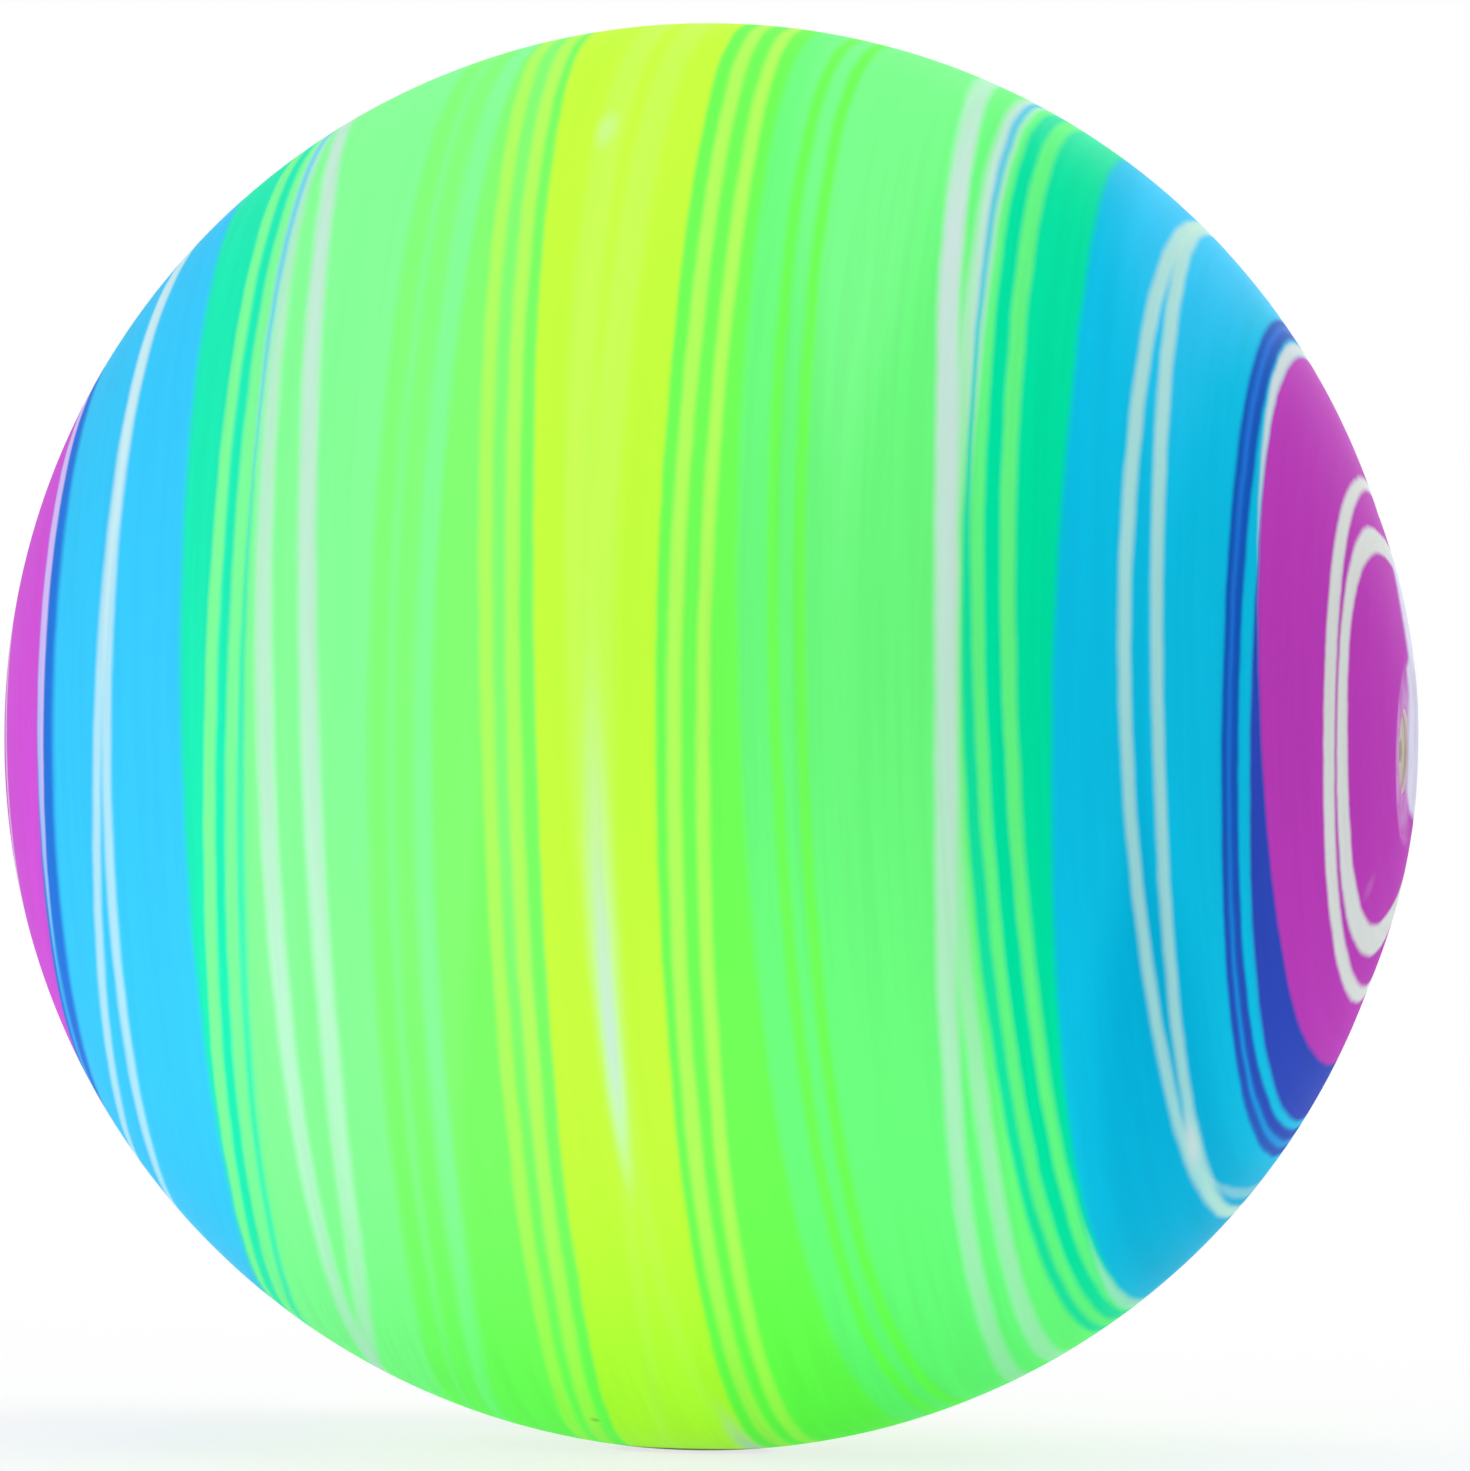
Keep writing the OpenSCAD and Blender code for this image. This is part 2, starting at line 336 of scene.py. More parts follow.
class PlayBallSizes(PropertyGroup):
    """Sizes of the ball and its valve"""

    width: size("Width", "Width round the middle, square to the valve axis", SKIN_HIGH.y - SKIN_LOW.y)
    length: size("Length", "Length of the ball's own curve, without the swell", 216.2 * MM)
    skin: size("Skin", "Thickness of the moulded skin", 0.8 * MM)
    swell: size("Swell", "Width at which the swell round the valve runs out", 76.0 * MM)
    rim_x: size("Rim level", "Level of the swell at the collar's rim", SKIN_HIGH.x)
    collar: size("Collar", "Width of the flat collar round the valve", 25.6 * MM)
    collar_drop: size("Collar drop", "Depth of the collar's face below its rim", 0.5 * MM)
    collar_slope: size("Collar slope", "Width of the slope round the collar", 1.5 * MM)
    collar_wall: size("Collar wall", "Wall of the collar round the seat", 2.3 * MM)
    hole: size("Valve hole", "Width of the valve hole", 13.0 * MM)
    mouth: size("Mouth rounding", "Rounding of the valve hole's mouth", 0.4 * MM)
    seat_x: size("Seat level", "Level of the seat's flange", SEAT_HIGH.x)
    flange: size("Flange", "Thickness of the seat's flange", 1.5 * MM)
    flange_width: size("Flange width", "Width of the seat's flange", SEAT_HIGH.y - SEAT_LOW.y)
    sleeve_x: size("Sleeve end", "Level of the sleeve's inner end", SEAT_LOW.x)
    sleeve_wall: size("Sleeve wall", "Wall of the seat's sleeve", 1.6 * MM)
    gusset: size("Gusset", "Leg of the gusset behind the flange", 1.2 * MM)
    head: size("Head", "Width of the core's head", CORE_HIGH.y - CORE_LOW.y)
    face_x: size("Face level", "Level of the core's face", CORE_HIGH.x)
    nose_x: size("Nose level", "Level of the core's inner tip", CORE_LOW.x)
    stem: size("Stem", "Width of the stem under the head", 9.0 * MM)
    stem_end: size("Stem end", "Width of the stem at the sleeve's inner end", 7.6 * MM)
    nose: size("Nose", "Width of the core's inner tip", 5.0 * MM)
    ring: size("Sealing ring", "Height of a sealing ring above the stem", 0.3 * MM)
    rings: IntProperty(name="Sealing rings", description="Number of sealing rings", default=3, min=1)
    ring_gap: size("Ring gap", "Gap between the rings and the bore", 0.05 * MM)
    needle: size("Needle hole", "Width of the needle hole", 2.2 * MM)
    needle_length: size("Needle hole length", "Length of the needle hole", 6.0 * MM)
    funnel: size("Funnel", "Width of the funnel at the needle hole", 4.0 * MM)
    funnel_depth: size("Funnel depth", "Depth of the funnel", 1.0 * MM)
    slit: size("Slit", "Width of the slit behind the needle hole", 1.6 * MM)
    slit_gap: size("Slit gap", "Gap of the slit", 0.2 * MM)


class PlayBallPaint(PropertyGroup):
    """Colours of the paint, the vinyl and the rubber"""

    purple: tint("Purple", "Cap round the valve", "bc3cba")
    orchid: tint("Orchid", "Cap round the far pole", "d452da")
    lilac: tint("Lilac", "Line beside the orchid", "dcc2fa")
    indigo: tint("Indigo", "Wedge beside the purple", "2e49ba")
    cobalt: tint("Cobalt", "Lines beside the purple", "1458bc")
    royal_blue: tint("Royal blue", "Band beside the orchid", "2475dc")
    sky_blue: tint("Sky blue", "Band of blue on the valve's side", "0cc0e7")
    # Painted shade: darker sky blue for the low, less lit part of the band
    shaded_sky_blue: tint("Deep sky blue", "Low part of the sky blue", "00add9")
    azure: tint("Azure", "Band of blue on the far side", "38c8fb")
    teal: tint("Teal", "Band and lines beside the sky blue", "00e0a0")
    sea_green: tint("Sea green", "Band and lines beside the azure", "1eebb4")
    mint: tint("Mint", "Outer part of the green on the valve's side", "6bf77d")
    pale_mint: tint("Pale mint", "Outer part of the green on the far side", "84fb95")
    leaf: tint("Leaf green", "Inner part of the green on the valve's side", "6efb56")
    pale_leaf: tint("Pale leaf", "Inner part of the green on the far side", "80fb70")
    lime: tint("Lime", "Fine lines in the green", "b0fb5e")
    yellow: tint("Yellow", "Band round the middle", "c2fc3e")
    pale_yellow: tint("Pale yellow", "Pale streaks in the yellow", "c8fc60")
    white: tint("White", "Rings round the poles", "dadfdc")
    pearl: tint("Pearl", "White behind the valve", "dcdaf0")
    haze: tint("Haze", "White lines in the greens", "d3e0e7")
    mist: tint("Mist", "White streaks in the yellow", "c6dfe6")
    frost: tint("Frost", "White lines in the azure", "d8f4f4")
    ice: tint("Ice", "White lines in the sky blue", "bce6d8")
    umber: tint("Umber", "Specks", "6a4a30")
    vinyl: tint("Bare vinyl", "Inside of the ball and its seat", "e4dccb")
    rubber: tint("Valve rubber", "Valve core", "b2ac92")


class Arc(namedtuple("Arc", "centre radius")):
    """Arc of a half section, which lies as SectionPen's does."""

    def at(self, r):
        """Point of the arc's outer side at a distance from the valve axis."""
        along = math.sqrt(self.radius ** 2 - (r - self.centre.y) ** 2)
        return Vector((self.centre.x + along, r, 0))

    def drawn_in(self, inset):
        """Arc about the same centre, nearer by an inset."""
        return Arc(self.centre, self.radius - inset)

    def meeting(self, other):
        """Point where the arc meets another one whose centre lies towards the valve."""
        apart = other.centre - self.centre
        ahead = apart.normalized()
        along = (self.radius ** 2 - other.radius ** 2 + apart.length_squared) / (2 * apart.length)
        away = math.sqrt(self.radius ** 2 - along ** 2)
        return self.centre + ahead * along + Vector((-ahead.y, ahead.x, 0)) * away


class SectionPen:
    """Draws half a section point by point, then turns it about the valve axis.

    The section lies in the XY plane: X runs out through the valve, and Y is the distance
    from the valve axis.
    """

    def __init__(self, name, x, r):
        bpy.ops.object.select_all(action='DESELECT')
        bpy.ops.mesh.primitive_plane_add(size=MM)
        self.piece = bpy.context.object
        self.piece.name = name
        self.piece.data.name = name
        self.at = Vector((x, r, 0))
        bpy.ops.object.mode_set(mode='EDIT')
        bpy.ops.mesh.select_all(action='SELECT')
        bpy.ops.mesh.merge(type='CENTER')
        bpy.ops.transform.translate(value=self.at)

    def line(self, end):
        """Draws a straight stretch to a point."""
        bpy.ops.mesh.extrude_vertices_move(TRANSFORM_OT_translate={"value": end - self.at})
        self.at = end

    def arc(self, centre, angle, steps):
        """Draws an arc about a centre, clockwise for an angle above zero."""
        bpy.ops.mesh.spin(steps=steps, angle=angle, center=centre, axis=(0, 0, 1))
        self.at = centre + Matrix.Rotation(-angle, 3, 'Z') @ (self.at - centre)

    def arc_to(self, centre, end, steps, clockwise=True):
        """Draws an arc about a centre to a point."""
        start = math.atan2(self.at.y - centre.y, self.at.x - centre.x)
        finish = math.atan2(end.y - centre.y, end.x - centre.x)
        if clockwise:
            self.arc(centre, (start - finish) % math.tau, steps)
        else:
            self.arc(centre, -((finish - start) % math.tau), steps)

    def corner(self, corner, after, rounding):
        """Draws a straight stretch to a corner and rounds it towards the point after it."""
        before = (self.at - corner).normalized()
        ahead = (after - corner).normalized()
        turn = math.pi - before.angle(ahead)
        self.line(corner + before * rounding * math.tan(turn / 2))
        centre = corner + (before + ahead).normalized() * rounding / math.cos(turn / 2)
        clockwise = before.cross(ahead).z > 0
        self.arc(centre, turn if clockwise else -turn, CORNER_STEPS)

    def trace(self, stops):
        """Draws straight stretches through stops, each an X, a distance and a rounding."""
        points = [Vector((x, r, 0)) for x, r, rounding in stops]
        for index, (x, r, rounding) in enumerate(stops):
            if rounding > 0:
                self.corner(points[index], points[index + 1], rounding)
            else:
                self.line(points[index])

    def turn(self, steps):
        """Turns the section about the valve axis and returns the closed piece."""
        bpy.ops.mesh.select_all(action='SELECT')
        bpy.ops.mesh.spin(steps=steps, angle=math.tau, center=(0, 0, 0), axis=(1, 0, 0))
        bpy.ops.mesh.select_all(action='SELECT')
        bpy.ops.mesh.remove_doubles(threshold=WELD)
        bpy.ops.mesh.normals_make_consistent(inside=False)
        bpy.ops.object.mode_set(mode='OBJECT')
        bpy.ops.object.shade_smooth_by_angle(angle=SMOOTH_ANGLE)
        return self.piece


class NodeBench:
    """Adds nodes to one node tree and links them."""

    # Distance between nodes in the editor
    step = 180

    def __init__(self, tree):
        self.tree = tree
        self.column = 0

    def add(self, kind, inputs=None, **settings):
        """Adds a node, with its settings and with values or links for its inputs."""
        node = self.tree.nodes.new(kind)
        node.location = (self.column, 0)
        self.column += self.step
        for name, value in settings.items():
            setattr(node, name, value)
        for name, value in (inputs or {}).items():
            self.feed(node.inputs[name], value)
        return node

    def feed(self, socket, value):
        """Links an output to a socket, or sets the socket's value."""
        if isinstance(value, bpy.types.NodeSocket):
            self.tree.links.new(value, socket)
        else:
            socket.default_value = value

    def math(self, operation, *values):
        """Adds a Math node and returns its result."""
        inputs = dict(enumerate(values))
        return self.add('ShaderNodeMath', inputs, operation=operation).outputs["Value"]

    def blend(self, mask, below, above):
        """Mixes one colour over another and returns the result."""
        inputs = {0: mask, 6: below, 7: above}
        return self.add('ShaderNodeMix', inputs, data_type='RGBA').outputs[2]

    def fade(self, value, start, end, first, last):
        """Eases from a first to a last value while the value runs from start to end."""
        inputs = {"Value": value, "From Min": start, "From Max": end, "To Min": first, "To Max": last}
        node = self.add('ShaderNodeMapRange', inputs, interpolation_type='SMOOTHSTEP')
        return node.outputs["Result"]

    def spot(self):
        """Place on the piece."""
        return self.add('ShaderNodeTexCoord').outputs["Object"]

    def length(self, vector):
        """Length of a vector."""
        return self.add('ShaderNodeVectorMath', {0: vector}, operation='LENGTH').outputs["Value"]

    def noise(self, place, scale, detail):
        """Noise at a place."""
        inputs = {"Vector": place, "Scale": scale, "Detail": detail}
        return self.add('ShaderNodeTexNoise', inputs).outputs["Fac"]

    def streaks(self, spun, streaks):
        """Noise drawn out along the spin, from the way round and the angle."""
        place = self.add('ShaderNodeMapping', {"Vector": spun, "Scale": streaks.scale})
        return self.noise(place.outputs["Vector"], 1, streaks.detail)

    def group(self, name, inputs=None):
        """Adds a group node by the group's name, and makes the group the first time."""
        if name not in bpy.data.node_groups:
            GROUP_MAKERS[name](name)
        return self.add('ShaderNodeGroup', inputs, node_tree=bpy.data.node_groups[name])


def new_group(name, inputs, values, vectors=()):
    """Makes a node group and returns its bench, its inputs, and the values and vectors it puts out."""
    tree = bpy.data.node_groups.new(name, 'ShaderNodeTree')
    for socket in inputs:
        tree.interface.new_socket(socket, in_out='INPUT', socket_type='NodeSocketFloat')
    for socket in values:
        tree.interface.new_socket(socket, in_out='OUTPUT', socket_type='NodeSocketFloat')
    for socket in vectors:
        tree.interface.new_socket(socket, in_out='OUTPUT', socket_type='NodeSocketVector')
    bench = NodeBench(tree)
    entry = bench.add('NodeGroupInput')
    return bench, entry.outputs, bench.add('NodeGroupOutput').inputs


def make_angle_group(name):
    """Angle from the valve pole in degrees, share of a turn from the back, and the way round."""
    bench, _, leave = new_group(name, (), ("Angle", "Turn"), ("Spun",))
    lean = {"Vector": bench.spot(), "Rotation": (0, PAINT_LEAN, PAINT_TURN)}
    place = bench.add('ShaderNodeMapping', lean).outputs["Vector"]
    apart = bench.add('ShaderNodeSeparateXYZ', {0: place}).outputs
    pole_angle = bench.math('ARCCOSINE', bench.math('DIVIDE', apart["X"], bench.length(place)))
    degrees = bench.math('DEGREES', pole_angle)
    front = bench.math('MULTIPLY', apart["Y"], -1)
    turn = bench.math('ARCTAN2', apart["Z"], front)
    bench.feed(leave["Turn"], bench.math('MULTIPLY_ADD', turn, 1 / math.tau, FRONT_TURN))
    flat = {"X": bench.math('COSINE', turn), "Y": bench.math('SINE', turn), "Z": degrees}
    spun = bench.add('ShaderNodeCombineXYZ', flat).outputs["Vector"]
    bench.feed(leave["Spun"], spun)
    wander = bench.math('SUBTRACT', bench.streaks(spun, WANDER_STREAKS), NOISE_MIDDLE)
    bench.feed(leave["Angle"], bench.math('MULTIPLY_ADD', wander, WANDER, degrees))


def make_edge_group(name):
    """Mask of all that lies past an edge."""
    inputs = ("Angle", "Path", "Soft")
    bench, entry, leave = new_group(name, inputs, ("Mask",))
    path = bench.math('MULTIPLY', entry["Path"], FULL_ANGLE)
    past = bench.math('SUBTRACT', entry["Angle"], path)
    half = bench.math('MULTIPLY', entry["Soft"], 0.5)
    bench.feed(leave["Mask"], bench.fade(past, bench.math('MULTIPLY', half, -1), half, 0, 1))


def make_line_group(name):
    """Mask of a painted line."""
    inputs = ("Angle", "Path", "Width", "Soft", "Strength")
    bench, entry, leave = new_group(name, inputs, ("Mask",))
    path = bench.math('MULTIPLY', entry["Path"], FULL_ANGLE)
    away = bench.math('ABSOLUTE', bench.math('SUBTRACT', entry["Angle"], path))
    width = bench.math('MULTIPLY_ADD', entry["Width"], WIDEST - NARROWEST, NARROWEST)
    half = bench.math('MULTIPLY', width, 0.5)
    soft = bench.math('MULTIPLY', entry["Soft"], 0.5)
    inner = bench.math('SUBTRACT', half, soft)
    outer = bench.math('ADD', half, soft)
    mask = bench.fade(away, inner, outer, 1, 0)
    bench.feed(leave["Mask"], bench.math('MULTIPLY', mask, entry["Strength"]))


def make_mark_group(name):
    """Mask of a short mark that tapers at its ends."""
    inputs = ("Angle", "Turn", "At Angle", "At Turn", "Half Width", "Half Length", "Strength")
    bench, entry, leave = new_group(name, inputs, ("Mask",))
    across = bench.math('SUBTRACT', entry["Angle"], entry["At Angle"])
    across = bench.math('DIVIDE', across, entry["Half Width"])
    along = bench.math('SUBTRACT', entry["Turn"], entry["At Turn"])
    along = bench.math('DIVIDE', along, entry["Half Length"])
    squares = bench.math('ADD', bench.math('POWER', across, 2), bench.math('POWER', along, 2))
    mask = bench.fade(bench.math('SQRT', squares), 0, 1, 1, 0)
    bench.feed(leave["Mask"], bench.math('MULTIPLY', mask, entry["Strength"]))


def make_grain_group(name):
    """Fine moulded grain: a height, an uneven roughness and a mottle."""
    inputs = ("Size", "Roughness", "Spread")
    bench, entry, leave = new_group(name, inputs, ("Height", "Roughness", "Mottle"))
    place = bench.spot()
    fine = bench.math('DIVIDE', 1, entry["Size"])
    bench.feed(leave["Height"], bench.noise(place, fine, GRAIN_DETAIL))
    coarse = bench.math('MULTIPLY', fine, MOTTLE_SCALE)
    mottle = bench.noise(place, coarse, MOTTLE_DETAIL)
    bench.feed(leave["Mottle"], mottle)
    uneven = bench.math('SUBTRACT', mottle, NOISE_MIDDLE)
    rough = bench.math('MULTIPLY_ADD', uneven, entry["Spread"], entry["Roughness"])
    bench.feed(leave["Roughness"], rough)


GROUP_MAKERS = {
    "Ball Angles": make_angle_group,
    "Paint Edge": make_edge_group,
    "Paint Line": make_line_group,
    "Paint Mark": make_mark_group,
    "Soft Grain": make_grain_group,
}


def around(readings):
    """Closes five readings of the front round the hidden side, or keeps a whole round of them."""
    if len(readings) > FRONT_CROSSINGS:
        return readings
    top, upper, front, lower, bottom = readings

    def hidden(share, reading, repeat):
        """Reading at a share of the way down the back, which repeats part of one at the front."""
        straight = top + (bottom - top) * share
        matching = top + (bottom - top) * (1 - share)
        return straight + (reading - matching) * repeat

    low_back = hidden(0.75, upper, QUARTER_REPEAT)
    back = hidden(0.5, front, BACK_REPEAT)
    high_back = hidden(0.25, lower, QUARTER_REPEAT)
    return (*readings, low_back, back, high_back)


def round_share(bench, turn, readings, lowest, highest):
    """One reading, or a smooth curve through readings round the ball, as a share of the range."""
    def share(reading):
        return (reading - lowest) / (highest - lowest)

    if not isinstance(readings, tuple):
        return share(readings)
    full_round = around(readings)
    count = len(full_round)
    # Readings go down the front from the top, and the curve goes up it from the back
    back = count * 3 // 4
    shares = [share(full_round[(back - step) % count]) for step in range(count + 1)]
    node = bench.add('ShaderNodeFloatCurve', {"Value": turn})
    curve = node.mapping.curves[0]
    curve.points[0].location = (0, shares[0])
    curve.points[1].location = (1, shares[count])
    for step in range(1, count):
        curve.points.new(step / count, shares[step])
    node.mapping.update()
    return node.outputs["Value"]


def lay(bench, kind, inputs, below, above):
    """Lays one colour over another where a group's mask shows it."""
    return bench.blend(bench.group(kind, inputs).outputs["Mask"], below, above)


def paint_bands(bench, paints, angle, turn):
    """Broad bands of colour, one after another from the valve pole."""
    colour = getattr(paints, FIRST_BAND)
    for band in BANDS:
        path = round_share(bench, turn, band.path, 0, FULL_ANGLE)
        inputs = {"Angle": angle, "Path": path, "Soft": band.soft}
        colour = lay(bench, "Paint Edge", inputs, colour, getattr(paints, band.colour))
    return colour


def paint_lines(bench, paints, angle, turn, colour):
    """Lines over the bands."""
    for line in LINES:
        inputs = {
            "Angle": angle,
            "Path": round_share(bench, turn, line.path, 0, FULL_ANGLE),
            "Width": round_share(bench, turn, line.width, NARROWEST, WIDEST),
            "Strength": round_share(bench, turn, line.strength, 0, 1),
            "Soft": line.soft,
        }
        colour = lay(bench, "Paint Line", inputs, colour, getattr(paints, line.colour))
    return colour


def paint_marks(bench, paints, angle, turn, colour):
    """Short streaks and specks over the lines."""
    for mark in MARKS:
        inputs = {
            "Angle": angle,
            "Turn": turn,
            "At Angle": mark.angle,
            "At Turn": mark.turn / FULL_TURN + FRONT_TURN,
            "Half Width": mark.half_width,
            "Half Length": mark.half_length / FULL_TURN,
            "Strength": mark.strength,
        }
        colour = lay(bench, "Paint Mark", inputs, colour, getattr(paints, mark.colour))
    return colour


def paint_pool(bench, paints, angle, spun, colour):
    """White paint behind the valve, inside the inner ring."""
    apart = bench.add('ShaderNodeSeparateXYZ', {0: bench.spot()}).outputs
    edge = bench.fade(apart["Z"], *POOL_CHANGE, POOL_BESIDE, POOL_ABOVE)
    edge = bench.math('ADD', edge, bench.fade(apart["Z"], *POOL_LOW_END, POOL_LOW_DRAW, 0))
    edge = bench.math('ADD', edge, bench.fade(apart["Z"], *POOL_HIGH_END, 0, POOL_HIGH_DRAW))
    streaks = bench.streaks(spun, POOL_STREAKS)
    fray = bench.math('MULTIPLY', bench.math('SUBTRACT', streaks, NOISE_MIDDLE), POOL_FRAY)
    behind = bench.math('ADD', bench.math('SUBTRACT', apart["Y"], edge), fray)
    pool = bench.fade(behind, -POOL_SOFT, POOL_SOFT, 0, 1)
    inside = bench.fade(angle, *POOL_OUTER, 1, 0)
    return bench.blend(bench.math('MULTIPLY', pool, inside), colour, paints.pearl)


def axis_reach(bench, spot):
    """Distance from the valve axis."""
    inputs = {0: spot, 1: (0, 1, 1)}
    across = bench.add('ShaderNodeVectorMath', inputs, operation='MULTIPLY').outputs["Vector"]
    return bench.length(across)


def rub_and_highlight_paint(bench, paints, colour):
    """Paint rubbed thin in smudges round the valve, with a painted highlight of the collar and its
    rim.
    """
    spot = bench.spot()
    along = bench.add('ShaderNodeSeparateXYZ', {0: spot}).outputs["X"]
    off_axis = bench.math('DEGREES', bench.math('ARCTAN2', axis_reach(bench, spot), along))
    # Part rub, part painted highlight of the collar, fading out from the valve
    rubbed_and_lit = bench.fade(off_axis, *RUB_AND_HIGHLIGHT_ANGLES, RUB_AND_HIGHLIGHT_SHARE, 0)
    noise = bench.noise(spot, SMUDGE_SCALE, SMUDGE_DETAIL)
    smudges = bench.fade(noise, *NOISE_RANGE, *SMUDGE_SHARES)
    # Pearl over the paint here is partly rubbed paint and partly a painted highlight
    return bench.blend(bench.math('MULTIPLY', rubbed_and_lit, smudges), colour, paints.pearl)


def new_material(name):
    """Makes a material with a bare Principled shader and returns them with the bench."""
    material = bpy.data.materials.new(name)
    material.use_nodes = True
    bench = NodeBench(material.node_tree)
    shader = material.node_tree.nodes["Principled BSDF"]
    return material, bench, shader


def soft_grain(bench, finish):
    """Height, roughness and mottle of a finish."""
    inputs = {"Size": finish.grain, "Roughness": finish.roughness, "Spread": finish.spread}
    return bench.group("Soft Grain", inputs).outputs


def finish_surface(bench, shader, colour, grain, depth):
    """Feeds a colour, the grain's roughness and a fine bump to the shader."""
    bench.feed(shader.inputs["Base Color"], colour)
    bench.feed(shader.inputs["Roughness"], grain["Roughness"])
    inputs = {"Strength": BUMP_STRENGTH, "Distance": depth, "Height": grain["Height"]}
    bench.feed(shader.inputs["Normal"], bench.add('ShaderNodeBump', inputs).outputs["Normal"])


def make_striped_vinyl(paints):
    """Satin vinyl with spun stripes of neon paint."""
    material, bench, shader = new_material("striped_vinyl")
    angles = bench.group("Ball Angles").outputs
    colour = paint_bands(bench, paints, angles["Angle"], angles["Turn"])
    colour = paint_lines(bench, paints, angles["Angle"], angles["Turn"], colour)
    colour = paint_marks(bench, paints, angles["Angle"], angles["Turn"], colour)
    colour = paint_pool(bench, paints, angles["Angle"], angles["Spun"], colour)
    # Rubbed paint and a painted highlight round the valve's collar
    colour = rub_and_highlight_paint(bench, paints, colour)
    streaks = bench.streaks(angles["Spun"], COAT_STREAKS)
    value = bench.fade(streaks, *NOISE_RANGE, THIN_COAT, 1)
    colour = bench.add('ShaderNodeHueSaturation', {"Value": value, "Color": colour}).outputs["Color"]
    finish_surface(bench, shader, colour, soft_grain(bench, PAINTED_VINYL), PAINTED_VINYL.bump)
    shader.inputs["Specular IOR Level"].default_value = PAINT_SHINE
    return material


def mottled(bench, colour, shade, grain):
    """Colour with a faint mottle of a darker shade."""
    mottle = bench.fade(grain["Mottle"], *MOTTLE_RANGE, 0, MOTTLE_SHARE)
    darker = tuple(channel * shade for channel in colour[:3])
    return bench.blend(mottle, tuple(colour), (*darker, 1))


def make_bare_vinyl(name, paints, finish):
    """Unpainted vinyl with a fine grain and a faint mottle."""
    material, bench, shader = new_material(name)
    grain = soft_grain(bench, finish)
    colour = mottled(bench, paints.vinyl, finish.shade, grain)
    finish_surface(bench, shader, colour, grain, finish.bump)
    return material


def make_valve_rubber(paints, sizes):
    """Matt rubber with a fine grain, and a mist of paint round the core's head."""
    material, bench, shader = new_material("valve_rubber")
    grain = soft_grain(bench, CORE_RUBBER)
    rim = sizes.head / 2
    mist = bench.fade(axis_reach(bench, bench.spot()), MIST_START * rim, rim, 0, MIST_SHARE)
    colour = mottled(bench, paints.rubber, CORE_RUBBER.shade, grain)
    colour = bench.blend(mist, colour, tuple(paints.purple))
    finish_surface(bench, shader, colour, grain, CORE_RUBBER.bump)
    return material


def seat_bore(sizes, depth):
    """Radius of the seat's tapered bore at a depth below the flange's face."""
    return stem_radius(sizes, depth) + sizes.ring + sizes.ring_gap


def stem_radius(sizes, depth):
    """Radius of the core's tapered stem at a depth below its head."""
    share = depth / (sizes.seat_x - sizes.sleeve_x)
    return (sizes.stem + (sizes.stem_end - sizes.stem) * share) / 2


def join_frame(piece, body, node):
    """Rides a piece on its body, in place of its node."""
    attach(piece, body)
    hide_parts(node)


class PLAYBALL_OT_skin(Operator):
    """Model the hollow skin with its collar and boss, and paint its stripes"""

    bl_idname = "playball.skin"
    bl_label = "Ball Skin"

    outer_steps = 144
    swell_steps = 20
    inner_steps = 48
    turn_steps = 192
    # Straight run from the swell's arc to its rim, and rounding of the rim and of the slope's foot
    rim_run = 1.0 * MM
    rim_rounding = 3.0 * MM
    foot_rounding = 1.0 * MM
    # Painted faces look away from the ball's centre at least as much as this
    least_facing = 0.3

    def execute(self, context):
        sizes = context.scene.playball_sizes
        piece = self.model(sizes)
        paints = context.scene.playball_paint
        piece.data.materials.append(make_striped_vinyl(paints))
        piece.data.materials.append(make_bare_vinyl("bare_vinyl", paints, BARE_VINYL))
        self.bare_inside(piece)
        join_frame(piece, "ball", "ball_skin")
        return {'FINISHED'}

    def arcs(self, sizes, rim):
        """Arc of the ball's own curve, and of the swell from the collar's rim to that curve."""
        reach = sizes.length ** 2 / (2 * sizes.width)
        ball = Arc(Vector((0, (sizes.width / 2 - reach) / 2, 0)), (sizes.width / 2 + reach) / 2)
        run_out = ball.at(sizes.swell / 2)
        along = (rim.length_squared - run_out.length_squared) / (2 * (rim.x - run_out.x))
        centre = Vector((along, 0, 0))
        return ball, Arc(centre, (rim - centre).length)

    def model(self, sizes):
        """Turn the skin's section: ball, swell, sunk collar, valve hole, boss and inside."""
        collar_r = sizes.collar / 2
        collar_x = sizes.rim_x - sizes.collar_drop
        rim = Vector((sizes.rim_x, collar_r + sizes.collar_slope, 0))
        ball, swell = self.arcs(sizes, rim)
        inner_ball = ball.drawn_in(sizes.skin)
        inner_swell = swell.drawn_in(sizes.skin)
        hole_r = sizes.hole / 2
        pocket_r = collar_r - sizes.collar_wall
        boss_x = sizes.seat_x - sizes.flange
        boss_r = rim.y + sizes.skin
        pen = SectionPen("striped_skin", -sizes.length / 2, 0)
        pen.arc_to(ball.centre, ball.meeting(swell), self.outer_steps)
        pen.arc_to(swell.centre, swell.at(rim.y + self.rim_run), self.swell_steps)
        pen.trace((
            (rim.x, rim.y, self.rim_rounding),
            (collar_x, collar_r, self.foot_rounding),
            (collar_x, hole_r, sizes.mouth),
            (sizes.seat_x, hole_r, 0),
            (sizes.seat_x, pocket_r, 0),
            (boss_x, pocket_r, 0),
            (boss_x, boss_r, sizes.mouth),
            (inner_swell.at(boss_r).x, boss_r, 0),
        ))
        pen.arc_to(swell.centre, inner_ball.meeting(inner_swell), self.swell_steps, clockwise=False)
        pen.arc_to(ball.centre, -inner_ball.at(0), self.inner_steps, clockwise=False)
        return pen.turn(self.turn_steps)

    def bare_inside(self, piece):
        """Leave unpainted the faces that don't look away from the ball's centre."""
        for face in piece.data.polygons:
            painted = face.normal.dot(face.center.normalized()) > self.least_facing
            face.material_index = 0 if painted else 1


